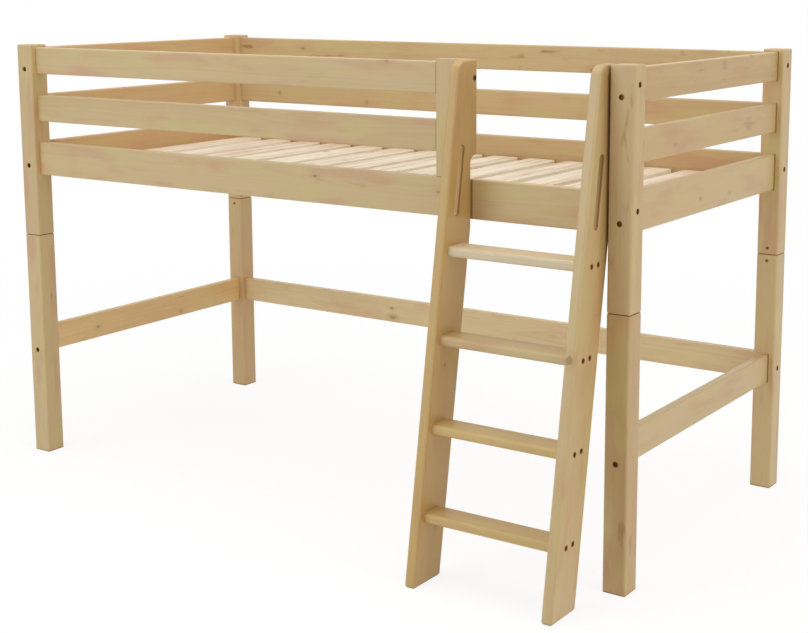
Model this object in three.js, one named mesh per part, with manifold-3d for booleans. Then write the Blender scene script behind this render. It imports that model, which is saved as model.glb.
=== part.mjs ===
// Pine loft bed for a 900 x 2000 mm mattress, free standing, in millimetres, +Z up.
// X runs along the bed, the front with the ladder faces -Y, and the feet stand on z = 0.
import * as THREE from "three";
import { mergeVertices } from "three/addons/utils/BufferGeometryUtils.js";
import Module from "manifold-3d";

const wasm = await Module();
wasm.setup();

// Overall sizes
const LENGTH = 2090;
const WIDTH = 990;
const HEIGHT = 1280;
const GAP = 0.3;

// Corner posts, each an upper post standing on a lower leg
const POST = 62;
const SEAM_DROP = 585;
const SEAM_Z = HEIGHT - SEAM_DROP;
const POST_EASE = 5;
const END_EASE = 3.5;

// Rails, centred on the posts
const SETBACK = 18;
const RAIL_T = 26;
const RAIL_EASE = 3.5;
const GUARD_H = 80;
const SIDE_H = 100;
const POST_PROUD = 8;
const SIDE_RAIL_DROP = 397;
const STRETCHER_Z = 321;
const TOP_RAIL_Z = HEIGHT - POST_PROUD - GUARD_H;
const SIDE_RAIL_Z = HEIGHT - SIDE_RAIL_DROP;
const SIDE_TOP_Z = SIDE_RAIL_Z + SIDE_H;
const MID_RAIL_Z = (SIDE_TOP_Z + TOP_RAIL_Z - GUARD_H) / 2;

// Short guard post beside the entry
const SHORT_POST_W = 79;
const SHORT_POST_EASE = 2;
const SHORT_POST_END_EASE = 1.5;

// Ladder: two slanted boards with a grip slot, a notch over the side rail and four treads
const STRINGER_T = 28;
const STRINGER_W = 118;
const SLANT = 0.164;
const TOP_FRONT_Y = -33.9;
const LADDER_CLEAR_W = 357.5;
const NOTCH_Y = 16;
const NOTCH_RISE = 58;
const NOTCH_R = 19;
const NOTCH_LEAD_R = 40;
const SHOULDER_R = 8;
const FOOT_R = 8;
const HEEL_R = 8;
const TOP_CORNER_R = 34;
const TOP_BACK_R = 8;
const STRINGER_EASE = 6;
const SPACER_T = 4;
const SPACER_R = 12;
const SLOT_INSET = 46;
const SLOT_R = 11;
const SLOT_EASE = 3;
const SLOT_DROP = 217;
const SLOT_LENGTH = 152;
const SLOT_Z1 = HEIGHT - SLOT_DROP;
const SLOT_Z0 = SLOT_Z1 - SLOT_LENGTH;
const TREAD_COUNT = 4;
const TREAD_TOP = 182;
const TOP_TREAD_DROP = 153;
const TREAD_STEP = (SIDE_TOP_Z - TOP_TREAD_DROP - TREAD_TOP) / (TREAD_COUNT - 1);
const TREAD_T = 26;
const TREAD_D = 68;
const TREAD_INSET = 19;
const NOSE_R = 9;
const TREAD_BACK_R = 4;
const TREAD_SCREW_SETBACK = 39;
const TREAD_SCREW_OFFSET = 16;
const TREAD_BORE_R = 5;
const TREAD_BORE_DEPTH = 7;

// Slats and the strips that carry them
const SLAT_COUNT = 15;
const SLAT_W = 95;
const SLAT_T = 18;
const SLAT_DROP = 63;
const SLAT_TOP_Z = SIDE_TOP_Z - SLAT_DROP;
const SLAT_X0 = 72;
const SLAT_PITCH = (LENGTH - 2 * SLAT_X0 - SLAT_W) / (SLAT_COUNT - 1);
const SLAT_END_Y = 50;
const SLAT_CORNER_R = 18;
const SLAT_EASE = 3;
const LEDGER_W = 30;
const LEDGER_H = 18;
const LEDGER_EASE = 2;

// Bolts, in counterbores, one per rail end; those along Y sit lower than those along X
const BOLT_R = 4;
const BOLT_CLEAR = 0.3;
const HEAD_R = 6;
const HEAD_H = 5;
const BORE_R = 7;
const BORE_DEPTH = 11;
const BOLT_GRIP = 45;
const LADDER_BORE_DEPTH = 8;
const LADDER_GRIP = 18;
const SOCKET_R = 3.2;
const SOCKET_DEPTH = 3;
const TOP_BOLT_RISE = 42;
const SIDE_BOLT_RISE = 56;
const LOW_BOLT_RISE = 36;
const BOLT_STAGGER = 28;
const X_BOLT_Z = [TOP_RAIL_Z + TOP_BOLT_RISE, SIDE_RAIL_Z + SIDE_BOLT_RISE, STRETCHER_Z + LOW_BOLT_RISE];
const Y_BOLT_Z = X_BOLT_Z.map((z) => z - BOLT_STAGGER);
const NUT_R = 4.5;
const NUT_DEPTH = 9;
const NUT_OFFSET = 18.5;

const PINE = 0xc9ab7c;
const PINE_PALE = 0xe9d6b8;
const STEEL = 0x8f8a80;

const group = new THREE.Group();
group.name = "loft_bed";

// A geometry as a closed solid
function solid(geometry) {
  const loose = new THREE.BufferGeometry();
  const flat = geometry.index ? geometry.toNonIndexed() : geometry;
  loose.setAttribute("position", flat.getAttribute("position"));
  const merged = mergeVertices(loose, 1e-3);
  const corners = Array.from(merged.index.array);
  const kept = [];
  for (let i = 0; i < corners.length; i += 3) {
    const [a, b, c] = corners.slice(i, i + 3);
    if (a !== b && b !== c && c !== a) kept.push(a, b, c);
  }
  return new wasm.Manifold(
    new wasm.Mesh({
      numProp: 3,
      vertProperties: merged.attributes.position.array,
      triVerts: new Uint32Array(kept),
    }),
  );
}

// A solid as a geometry
function geometryOf(body) {
  const mesh = body.getMesh();
  const geometry = new THREE.BufferGeometry();
  const stride = mesh.numProp;
  const count = mesh.vertProperties.length / stride;
  const positions = new Float32Array(count * 3);
  for (let i = 0; i < count; i += 1) {
    for (let k = 0; k < 3; k += 1) positions[i * 3 + k] = mesh.vertProperties[i * stride + k];
  }
  geometry.setAttribute("position", new THREE.BufferAttribute(positions, 3));
  geometry.setIndex(new THREE.BufferAttribute(new Uint32Array(mesh.triVerts), 1));
  return geometry;
}

// Adds one named piece to the group
function piece(name, body, color) {
  const geometry = geometryOf(body).toNonIndexed();
  geometry.computeVertexNormals();
  const material = new THREE.MeshStandardMaterial({ color, roughness: 0.6 });
  const mesh = new THREE.Mesh(geometry, material);
  mesh.name = name;
  group.add(mesh);
}

// Turns a profile drawn in u, v and extruded along w to the wanted long axis
function turned(geometry, axis) {
  const basis = new THREE.Matrix4();
  const ex = new THREE.Vector3(1, 0, 0);
  const ey = new THREE.Vector3(0, 1, 0);
  const ez = new THREE.Vector3(0, 0, 1);
  if (axis === "x") basis.makeBasis(ey, ez, ex);
  if (axis === "y") basis.makeBasis(ez, ex, ey);
  if (axis === "z") basis.makeBasis(ex, ey, ez);
  return geometry.applyMatrix4(basis);
}

// A closed outline along the given points, with every corner rounded by its own radius
function rounded(points, segments) {
  const shape = [];
  const n = points.length;
  points.forEach(([x, y, r], i) => {
    const here = new THREE.Vector2(x, y);
    if (!r) {
      shape.push(here);
      return;
    }
    const before = new THREE.Vector2(points[(i + n - 1) % n][0], points[(i + n - 1) % n][1]);
    const after = new THREE.Vector2(points[(i + 1) % n][0], points[(i + 1) % n][1]);
    const a = before.sub(here).normalize();
    const b = after.sub(here).normalize();
    const half = Math.acos(THREE.MathUtils.clamp(a.dot(b), -1, 1)) / 2;
    const centre = a.clone().add(b).normalize().multiplyScalar(r / Math.sin(half)).add(here);
    const reach = r / Math.tan(half);
    const start = a.clone().multiplyScalar(reach).add(here).sub(centre);
    const end = b.clone().multiplyScalar(reach).add(here).sub(centre);
    const turn = Math.atan2(start.cross(end), start.dot(end));
    for (let k = 0; k <= segments; k += 1) {
      shape.push(start.clone().rotateAround(new THREE.Vector2(), (turn * k) / segments).add(centre));
    }
  });
  return new THREE.Shape(shape);
}

// An extrusion of a profile between two stations on the long axis, its ends eased
function extrusion(shape, axis, from, to, endEase, endSegments = 2) {
  const geometry = new THREE.ExtrudeGeometry(shape, {
    depth: to - from - 2 * endEase,
    bevelEnabled: endEase > 0,
    bevelThickness: endEase,
    bevelSize: endEase,
    bevelOffset: -endEase,
    bevelSegments: endSegments,
    curveSegments: 8,
  });
  geometry.translate(0, 0, from + endEase);
  return solid(turned(geometry, axis));
}

// A board with eased long edges. low and high are opposite corners
function board(low, high, axis, ease, endEase = 0, segments = 2) {
  const order = { x: [1, 2, 0], y: [2, 0, 1], z: [0, 1, 2] }[axis];
  const [u, v, w] = order;
  const outline = rounded(
    [
      [low[u], low[v], ease],
      [high[u], low[v], ease],
      [high[u], high[v], ease],
      [low[u], high[v], ease],
    ],
    segments,
  );
  return extrusion(outline, axis, low[w], high[w], endEase);
}

// A round bar from a point along a signed axis, such as "+x" or "-y"
function rod(start, direction, radius, length, sides = 12) {
  const geometry = new THREE.CylinderGeometry(radius, radius, length, sides);
  geometry.translate(0, length / 2, 0);
  const way = new THREE.Vector3();
  way[direction[1]] = direction[0] === "+" ? 1 : -1;
  const spin = new THREE.Quaternion().setFromUnitVectors(new THREE.Vector3(0, 1, 0), way);
  geometry.applyQuaternion(spin);
  geometry.translate(...start);
  return solid(geometry);
}

// A point moved by a distance along a signed axis
function along(point, direction, distance) {
  const moved = [...point];
  moved["xyz".indexOf(direction[1])] += direction[0] === "+" ? distance : -distance;
  return moved;
}

const cuts = new Map();

// Remembers a tool body to be cut from the named piece
function cut(name, body) {
  cuts.set(name, [...(cuts.get(name) || []), body]);
}

// Counterbore, clearance hole and the pilot hole beyond, for one bolt that enters along the direction
function boltHoles(entry, direction, through, into, thickness, between, grip, depth) {
  cut(through, rod(along(entry, direction, -1), direction, BORE_R, depth + 1, 16));
  cut(through, rod(entry, direction, BOLT_R + BOLT_CLEAR, thickness + 1));
  cut(into, rod(along(entry, direction, thickness + between - 1), direction, BOLT_R + BOLT_CLEAR, grip + 2));
}

// Bolt with a round head and a hexagon socket, its head seated in the counterbore
function bolt(name, entry, direction, length, depth) {
  const seat = along(entry, direction, depth - GAP);
  const head = rod(along(seat, direction, -HEAD_H), direction, HEAD_R, HEAD_H, 16);
  const shank = rod(along(seat, direction, -1), direction, BOLT_R, length + 1);
  const socket = rod(along(seat, direction, -HEAD_H - 1), direction, SOCKET_R, SOCKET_DEPTH + 1, 6);
  piece(name, head.add(shank).subtract(socket), STEEL);
}

const backY = WIDTH - POST;
const rightX = LENGTH - POST;
const railY = { front: [SETBACK, SETBACK + RAIL_T], back: [WIDTH - SETBACK - RAIL_T, WIDTH - SETBACK] };
const railX = { left: [SETBACK, SETBACK + RAIL_T], right: [LENGTH - SETBACK - RAIL_T, LENGTH - SETBACK] };
const mid = POST / 2;
const ladderRight = rightX - SPACER_T - STRINGER_T;
const ladderLeft = ladderRight - LADDER_CLEAR_W - STRINGER_T;
const shortPostX = ladderLeft - GAP - SHORT_POST_W;

const bodies = new Map();

// Corner posts and legs
for (const [side, x0] of [["left", 0], ["right", rightX]]) {
  for (const [face, y0] of [["front", 0], ["back", backY]]) {
    const name = `${face}_${side}`;
    const low = [x0, y0];
    const high = [x0 + POST, y0 + POST];
    const upper = board([...low, SEAM_Z + GAP / 2], [...high, HEIGHT], "z", POST_EASE, END_EASE, 3);
    const lower = board([...low, 0], [...high, SEAM_Z - GAP / 2], "z", POST_EASE, END_EASE, 3);
    bodies.set(`${name}_post`, upper);
    bodies.set(`${name}_leg`, lower);
    const inner = face === "front" ? [y0 + POST, "-y"] : [y0, "+y"];
    for (const [part, dz] of [["post", NUT_OFFSET], ["leg", -NUT_OFFSET]]) {
      const mouth = along([x0 + mid, inner[0], SEAM_Z + dz], inner[1], -1);
      cut(`${name}_${part}`, rod(mouth, inner[1], NUT_R, NUT_DEPTH + 1));
    }
  }
}

// Rails along the bed; the two front guard rails stop at the short guard post
const longRails = [
  ["guard_rail_top", TOP_RAIL_Z, GUARD_H],
  ["guard_rail_mid", MID_RAIL_Z, GUARD_H],
  ["side_rail", SIDE_RAIL_Z, SIDE_H],
  ["stretcher", STRETCHER_Z, GUARD_H],
];
for (const [face, [y0, y1]] of Object.entries(railY)) {
  for (const [kind, z, tall] of longRails) {
    if (face === "front" && kind === "stretcher") continue;
    const guarded = face === "front" && kind.startsWith("guard");
    const end = guarded ? shortPostX - GAP : rightX - GAP;
    bodies.set(`${face}_${kind}`, board([POST + GAP, y0, z], [end, y1, z + tall], "x", RAIL_EASE));
  }
}

// Rails across both ends
for (const [side, [x0, x1]] of Object.entries(railX)) {
  for (const [kind, z, tall] of longRails) {
    const label = kind === "side_rail" ? "end_rail" : kind;
    bodies.set(
      `${side}_${label}`,
      board([x0, POST + GAP, z], [x1, backY - GAP, z + tall], "y", RAIL_EASE),
    );
  }
}

// Short guard post on the side rail
bodies.set(
  "short_guard_post",
  board(
    [shortPostX, SETBACK, SIDE_TOP_Z + GAP],
    [shortPostX + SHORT_POST_W, SETBACK + RAIL_T, HEIGHT],
    "z",
    SHORT_POST_EASE,
    SHORT_POST_END_EASE,
  ),
);

// Ladder stringers, drawn in y and z
const frontAt = (z) => TOP_FRONT_Y - SLANT * (HEIGHT - z);
const backAt = (z) => frontAt(z) + STRINGER_W;
const upperY = SETBACK + RAIL_T;
const notchTopZ = SIDE_TOP_Z + NOTCH_RISE;
const stringer = rounded(
  [
    [frontAt(0), 0, FOOT_R],
    [backAt(0), 0, HEEL_R],
    [NOTCH_Y, (NOTCH_Y - backAt(0)) / SLANT, NOTCH_LEAD_R],
    [NOTCH_Y, notchTopZ, NOTCH_R],
    [upperY, notchTopZ, SHOULDER_R],
    [upperY, HEIGHT, TOP_BACK_R],
    [frontAt(HEIGHT), HEIGHT, TOP_CORNER_R],
  ],
  6,
);
const lean = Math.atan(SLANT);
const slotEnd = (z, turn) =>
  Array.from({ length: 9 }, (_, i) => {
    const angle = turn + (Math.PI * i) / 8 - lean;
    const y = frontAt(z) + SLOT_INSET + SLOT_R * Math.cos(angle);
    return new THREE.Vector2(y, z + SLOT_R * Math.sin(angle));
  });
// A blank wider than the stringer holds the slot, so that the slot's rim is eased less than the board's edges
const blank = rounded(
  [
    [frontAt(0) - STRINGER_W, -STRINGER_W],
    [upperY + STRINGER_W, -STRINGER_W],
    [upperY + STRINGER_W, HEIGHT + STRINGER_W],
    [frontAt(0) - STRINGER_W, HEIGHT + STRINGER_W],
  ],
  1,
);
blank.holes.push(new THREE.Path([...slotEnd(SLOT_Z1, 0), ...slotEnd(SLOT_Z0, Math.PI)]));
for (const [side, x0] of [["left", ladderLeft], ["right", ladderRight]]) {
  const eased = extrusion(stringer, "x", x0, x0 + STRINGER_T, STRINGER_EASE, 3);
  const slotted = extrusion(blank, "x", x0, x0 + STRINGER_T, SLOT_EASE);
  bodies.set(`ladder_stringer_${side}`, eased.intersect(slotted));
}

// Ladder treads with a rounded front edge, and the screw recesses beside them
for (let k = 0; k < TREAD_COUNT; k += 1) {
  const top = TREAD_TOP + k * TREAD_STEP;
  const middle = top - TREAD_T / 2;
  const nose = frontAt(middle) + TREAD_INSET;
  const outline = rounded(
    [
      [nose, top - TREAD_T, NOSE_R],
      [nose + TREAD_D, top - TREAD_T, TREAD_BACK_R],
      [nose + TREAD_D, top, TREAD_BACK_R],
      [nose, top, NOSE_R],
    ],
    4,
  );
  const inside = [ladderLeft + STRINGER_T + GAP, ladderRight - GAP];
  bodies.set(`ladder_tread_${k + 1}`, extrusion(outline, "x", ...inside, 0));
  for (const dy of [-TREAD_SCREW_OFFSET, TREAD_SCREW_OFFSET]) {
    const y = nose + TREAD_SCREW_SETBACK + dy;
    const outerRight = ladderRight + STRINGER_T + 1;
    cut("ladder_stringer_left", rod([ladderLeft - 1, y, middle], "+x", TREAD_BORE_R, TREAD_BORE_DEPTH + 1));
    cut("ladder_stringer_right", rod([outerRight, y, middle], "-x", TREAD_BORE_R, TREAD_BORE_DEPTH + 1));
  }
}

// Ledger strips inside the side rails, and the slats that rest on them
const ledgerTop = SLAT_TOP_Z - SLAT_T - GAP;
for (const [face, y0] of [
  ["front", railY.front[1] + GAP],
  ["back", railY.back[0] - GAP - LEDGER_W],
]) {
  const low = [POST + GAP, y0, ledgerTop - LEDGER_H];
  const high = [rightX - GAP, y0 + LEDGER_W, ledgerTop];
  bodies.set(`${face}_slat_ledger`, board(low, high, "x", LEDGER_EASE));
}
for (let k = 0; k < SLAT_COUNT; k += 1) {
  const x0 = SLAT_X0 + k * SLAT_PITCH;
  const outline = rounded(
    [
      [x0, SLAT_END_Y, SLAT_CORNER_R],
      [x0 + SLAT_W, SLAT_END_Y, SLAT_CORNER_R],
      [x0 + SLAT_W, WIDTH - SLAT_END_Y, SLAT_CORNER_R],
      [x0, WIDTH - SLAT_END_Y, SLAT_CORNER_R],
    ],
    4,
  );
  const number = String(k + 1).padStart(2, "0");
  bodies.set(`slat_${number}`, extrusion(outline, "z", SLAT_TOP_Z - SLAT_T, SLAT_TOP_Z, SLAT_EASE));
}

// Bolts of the frame: every bolted rail has its holes, and the bolts seen from front and right are solid
const length = POST - BORE_DEPTH + GAP + BOLT_GRIP;
const levels = [
  ["guard_rail_top", "post", 0],
  ["side_rail", "post", 1],
  ["stretcher", "leg", 2],
];
const frameBolts = [];
for (const [kind, part, level] of levels) {
  for (const [face, y] of [["front", mid], ["back", WIDTH - mid]]) {
    for (const [side, entryX, way] of [["left", 0, "+x"], ["right", LENGTH, "-x"]]) {
      if (face === "front" && (kind === "stretcher" || (side === "right" && level === 0))) continue;
      const entry = [entryX, y, X_BOLT_Z[level]];
      boltHoles(entry, way, `${face}_${side}_${part}`, `${face}_${kind}`, POST, GAP, BOLT_GRIP, BORE_DEPTH);
      if (side === "right") frameBolts.push([`bolt_${face}_${side}_x_${level + 1}`, entry, way]);
    }
  }
  for (const [side, x] of [["left", mid], ["right", LENGTH - mid]]) {
    for (const [face, entryY, way] of [["front", 0, "+y"], ["back", WIDTH, "-y"]]) {
      const label = kind === "side_rail" ? "end_rail" : kind;
      const entry = [x, entryY, Y_BOLT_Z[level]];
      boltHoles(entry, way, `${face}_${side}_${part}`, `${side}_${label}`, POST, GAP, BOLT_GRIP, BORE_DEPTH);
      if (face === "front") frameBolts.push([`bolt_${face}_${side}_y_${level + 1}`, entry, way]);
    }
  }
}

// Bolts of the ladder: left into the short guard post, right from the corner post through a spacer
const ladderBoltLeft = [ladderLeft + STRINGER_T, mid, X_BOLT_Z[0]];
const ladderBoltRight = [LENGTH, mid, X_BOLT_Z[0]];
const leftJoint = [STRINGER_T, GAP, BOLT_GRIP, LADDER_BORE_DEPTH];
const rightJoint = [POST, SPACER_T, LADDER_GRIP, BORE_DEPTH];
boltHoles(ladderBoltLeft, "-x", "ladder_stringer_left", "short_guard_post", ...leftJoint);
boltHoles(ladderBoltRight, "-x", "front_right_post", "ladder_stringer_right", ...rightJoint);
const ladderBolts = [
  ["bolt_ladder_left", ladderBoltLeft, leftJoint],
  ["bolt_ladder_right", ladderBoltRight, rightJoint],
];

for (const [name, body] of bodies) {
  const tools = cuts.get(name) || [];
  const made = tools.reduce((left, tool) => left.subtract(tool), body);
  piece(name, made, name.startsWith("slat_") ? PINE_PALE : PINE);
}
for (const [name, entry, way] of frameBolts) bolt(name, entry, way, length, BORE_DEPTH);
for (const [name, entry, [thickness, between, grip, depth]] of ladderBolts) {
  bolt(name, entry, "-x", thickness + between + grip - depth, depth);
}

// Spacer ring between the ladder and the corner post
const ringStart = [rightX - GAP, mid, X_BOLT_Z[0]];
const ring = rod(ringStart, "-x", SPACER_R, SPACER_T - 2 * GAP, 20);
const ringHole = rod(along(ringStart, "-x", -1), "-x", BOLT_R + BOLT_CLEAR, SPACER_T + 2);
piece("ladder_spacer", ring.subtract(ringHole), STEEL);

// The origin is the middle of the whole footprint, ladder included, on the floor
const foremost = Math.min(...stringer.getPoints().map((point) => point.x));
group.position.set(-LENGTH / 2, -(WIDTH + foremost) / 2, 0);

export default group;
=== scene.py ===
import math
import random

import bpy
from mathutils import Matrix, Vector


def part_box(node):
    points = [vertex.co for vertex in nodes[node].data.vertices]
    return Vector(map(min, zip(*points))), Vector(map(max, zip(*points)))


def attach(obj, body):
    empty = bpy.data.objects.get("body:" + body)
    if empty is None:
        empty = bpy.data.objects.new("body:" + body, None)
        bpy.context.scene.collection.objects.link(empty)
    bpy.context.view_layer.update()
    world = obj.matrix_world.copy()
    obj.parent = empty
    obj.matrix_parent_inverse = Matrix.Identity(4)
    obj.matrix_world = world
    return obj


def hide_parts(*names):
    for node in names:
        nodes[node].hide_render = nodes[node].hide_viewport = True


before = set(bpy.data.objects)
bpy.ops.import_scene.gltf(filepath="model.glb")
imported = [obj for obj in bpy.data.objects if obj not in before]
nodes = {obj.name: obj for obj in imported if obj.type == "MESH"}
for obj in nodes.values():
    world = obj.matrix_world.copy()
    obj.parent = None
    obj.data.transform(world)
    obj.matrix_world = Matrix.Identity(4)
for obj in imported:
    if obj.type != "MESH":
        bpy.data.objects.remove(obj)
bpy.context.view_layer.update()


def put_in_scene(name, data):
    """A new object with the given data, in the scene"""
    thing = bpy.data.objects.new(name, data)
    bpy.context.scene.collection.objects.link(thing)
    return thing


# Camera

CAMERA_PLACE = (2.5638, -3.4134, 1.4708)
CAMERA_AZIMUTH = 33.552
CAMERA_ELEVATION = 9.190
CAMERA_ROLL = -0.064
CAMERA_SHIFT = (-0.06, -0.12)
FOCAL_PIXELS = 1477.3
FRAME_PIXELS = 808
SENSOR = 36.0


def make_camera():
    """The photograph's view: its place in the bed's frame, its direction and its lens"""
    lens = bpy.data.cameras.new("camera")
    lens.sensor_width = SENSOR
    lens.lens = FOCAL_PIXELS * SENSOR / FRAME_PIXELS
    lens.shift_x, lens.shift_y = CAMERA_SHIFT
    camera = put_in_scene("camera", lens)
    turn = Matrix.Rotation(math.radians(CAMERA_AZIMUTH), 4, "Z")
    tilt = Matrix.Rotation(math.radians(90 - CAMERA_ELEVATION), 4, "X")
    roll = Matrix.Rotation(math.radians(CAMERA_ROLL), 4, "Z")
    camera.matrix_world = Matrix.Translation(CAMERA_PLACE) @ turn @ tilt @ roll
    bpy.context.scene.camera = camera


# Node wiring

# sockets that share their names with others, by their places in the mix node
FIRST_COLOUR, SECOND_COLOUR, MIXED_COLOUR = 6, 7, 2


class Wiring:
    """Adds nodes to a tree, each joined to what feeds it"""

    def __init__(self, tree):
        self.tree = tree

    def add(self, kind, feeds=(), **settings):
        """A node with its settings made and its inputs fed, by name or by place"""
        node = self.tree.nodes.new(kind)
        for name, value in settings.items():
            setattr(node, name, value)
        for key, value in dict(feeds).items():
            self.feed(node.inputs[key], value)
        return node

    def feed(self, socket, value):
        """Joins a socket to another one, or gives it a plain value"""
        if isinstance(value, bpy.types.NodeSocket):
            self.tree.links.new(value, socket)
        else:
            socket.default_value = value

    def math(self, operation, *values, clamp=False):
        node = self.add("ShaderNodeMath", enumerate(values), operation=operation, use_clamp=clamp)
        return node.outputs[0]

    def sum_of(self, start, *parts, clamp=False):
        """Start plus each value times its weight, held between 0 and 1 at the end if clamp is set"""
        total = start
        for value, weight in parts:
            total = self.math("MULTIPLY_ADD", value, weight, total)
        total.node.use_clamp = clamp
        return total

    def vector(self, x, y, z):
        return self.add("ShaderNodeCombineXYZ", {0: x, 1: y, 2: z}).outputs[0]

    def parts(self, vector):
        return self.add("ShaderNodeSeparateXYZ", {0: vector}).outputs

    def vector_math(self, operation, *values, result="Vector"):
        return self.add("ShaderNodeVectorMath", enumerate(values), operation=operation).outputs[result]

    def noise(self, vector, detail=2.0, roughness=0.5):
        """Smooth noise from about -0.5 to 0.5"""
        feeds = {"Vector": vector, "Scale": 1.0, "Detail": detail, "Roughness": roughness}
        made = self.add("ShaderNodeTexNoise", feeds).outputs["Fac"]
        return self.math("SUBTRACT", made, 0.5)

    def varied(self, place, along, across, detail=2.0, roughness=0.5):
        """Noise that changes about so many times in a metre, along the board and across it"""
        stretched = self.vector_math("MULTIPLY", place, (along, across, across))
        return self.noise(stretched, detail, roughness)

    def ramp(self, value, low, high, to_low=0.0, to_high=1.0):
        """A smooth step of value between low and high"""
        feeds = {"Value": value, "From Min": low, "From Max": high}
        feeds.update({"To Min": to_low, "To Max": to_high})
        node = self.add("ShaderNodeMapRange", feeds, interpolation_type="SMOOTHSTEP")
        return node.outputs["Result"]

    def blend(self, amount, first, second, mode="MIX"):
        """A mix of two colours"""
        feeds = {"Factor": amount, FIRST_COLOUR: first, SECOND_COLOUR: second}
        node = self.add("ShaderNodeMix", feeds, data_type="RGBA", blend_type=mode)
        return node.outputs[MIXED_COLOUR]


def emptied(holder):
    """The wiring of a material or a world, cleared of what it came with"""
    holder.use_nodes = True
    holder.node_tree.nodes.clear()
    return Wiring(holder.node_tree)


def make_group(name, kind, inputs, outputs):
    """An empty node group with the named sockets, and the wiring of its inside"""
    tree = bpy.data.node_groups.new(name, kind)
    for way, sockets in (("INPUT", inputs), ("OUTPUT", outputs)):
        for label, socket_type, *value in sockets:
            made = tree.interface.new_socket(label, in_out=way, socket_type=socket_type)
            if value:
                made.default_value = value[0]
    wiring = Wiring(tree)
    entry = wiring.add("NodeGroupInput")
    leave = wiring.add("NodeGroupOutput")
    return tree, wiring, entry.outputs, leave.inputs


FLOAT, COLOUR, VECTOR = "NodeSocketFloat", "NodeSocketColor", "NodeSocketVector"
GEOMETRY, INTEGER, MATERIAL = "NodeSocketGeometry", "NodeSocketInt", "NodeSocketMaterial"


def paint(code):
    """A colour written as on a paint card, such as c9ab7c, in the renderer's linear numbers"""
    shares = [int(code[i : i + 2], 16) / 255 for i in (0, 2, 4)]
    return [s / 12.92 if s <= 0.04045 else ((s + 0.055) / 1.055) ** 2.4 for s in shares] + [1.0]


# Grain of the wood

# each variation: times that it changes in a metre along the board and across it, detail, roughness
WOBBLE = (60, 110)
BOW = (1.1, 5, 1.0)
RIPPLE = (7, 32)
FIBRE = (16, 620, 2.0, 0.6)
STREAK = (1.6, 46, 3.0, 0.6)
CLOUD = (1.7, 9, 1.0)
HEART = (4.2, 17)
SAP = (4.6, 19)
SMUDGE = (9, 38)
PATCH_EDGE = (0.02, 0.18)
SMUDGE_EDGE = (0.12, 0.26)

# knots in metres: the branches' spacing, a knot's size and how far away the rings still bend
KNOT_CELL = 0.10
KNOT_STRETCH = 1.9
KNOTS_AROUND = 0.75
KNOT_SCATTER = 0.85
KNOT_RADIUS = 0.0026
KNOT_GROWTH = 0.0036
KNOT_WOBBLE = 0.0060
KNOT_REACH = 0.026

# where a knot, its rim and the darker wood round it begin and are full, in radii of the knot
KNOT_EDGE = (1.45, 0.45)
RIM_EDGE = (0.3, 0.05)
HALO_EDGE = (4.2, 0.9)

# how strongly knots cover the wood, from the faintest to the darkest, and the rings inside them
KNOT_COVER = (0.34, 0.68)
RIM_COVER = (0.02, 0.24)
RIM_DARK = (0.05, 0.018, 0.005, 1)
KNOT_RING_PACE = 3800.0
KNOT_RINGS = 0.08

# pin knots, the buds of twigs
PIN_CELL = 0.05
PIN_SCATTER = 0.9
PIN_SHARE = 0.3
PIN_EDGE = (0.05, 0.02)
PIN_COVER = 0.7

# yearly rings: their course round the pith in metres, their uneven widths and their late wood
BOW_DEPTH = 0.034
RIPPLE_DEPTH = 0.0022
RING_BEND = 1.3
UNEVEN_PACE = 0.21
UNEVEN_YEARS = 2.2
VIGOUR = (0.3, 0.7)
LATE_POWER = 2.6
LATE_EDGE = (1.0, 0.9)

# shares of each variation in the tone
END_EDGE = (0.55, 0.95)
END_DARK = 0.28
END_RINGS = 0.25
HALO_DARK = 0.30
CLOUD_DARK = 0.30
HEART_COVER = 0.55
SAP_COVER = 0.5
FIBRE_LIGHT = 0.10

# shares of each variation in the roughness and the height
WOOD_ROUGH = 0.46
FIBRE_ROUGH, LATE_ROUGH, END_ROUGH, KNOT_ROUGH = 0.16, -0.05, 0.16, -0.08
FIBRE_HIGH, LATE_HIGH, KNOT_HIGH, RIM_HIGH = 0.55, 0.45, 0.35, -0.5


def branch_knots(w, place, knot_share):
    """Knots where branches leave the pith, at some places along and around it: the knot, its rim, the
    darker wood round it, the bend of the rings, the distance from its middle and its own tone"""
    x, y, z = w.parts(place)
    turn = w.math("MULTIPLY", w.math("ARCTAN2", z, y), KNOTS_AROUND)
    unrolled = w.vector(w.math("DIVIDE", x, KNOT_CELL * KNOT_STRETCH), turn, 0.0)
    feeds = {"Vector": unrolled, "Scale": 1.0, "Randomness": KNOT_SCATTER}
    cells = w.add("ShaderNodeTexVoronoi", feeds, voronoi_dimensions="2D").outputs
    chance, size, tone = w.add("ShaderNodeSeparateColor", {0: cells["Color"]}).outputs
    present = w.math("LESS_THAN", chance, knot_share)
    wobble = w.math("MULTIPLY", w.varied(place, *WOBBLE), KNOT_WOBBLE)
    away = w.sum_of(wobble, (cells["Distance"], KNOT_CELL))
    radius = w.sum_of(KNOT_RADIUS, (w.math("MULTIPLY", size, size), KNOT_GROWTH))
    close = w.math("SUBTRACT", 1.0, w.math("DIVIDE", away, KNOT_REACH), clamp=True)
    bend = w.math("MULTIPLY", w.math("MULTIPLY", close, close), w.math("MULTIPLY", radius, present))
    radii = w.math("DIVIDE", away, radius)
    from_rim = w.math("ABSOLUTE", w.math("SUBTRACT", radii, 1.0))
    knot, rim, halo = (
        w.math("MULTIPLY", w.ramp(value, *edge), present)
        for value, edge in ((radii, KNOT_EDGE), (from_rim, RIM_EDGE), (radii, HALO_EDGE))
    )
    return knot, rim, halo, bend, away, tone


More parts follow.
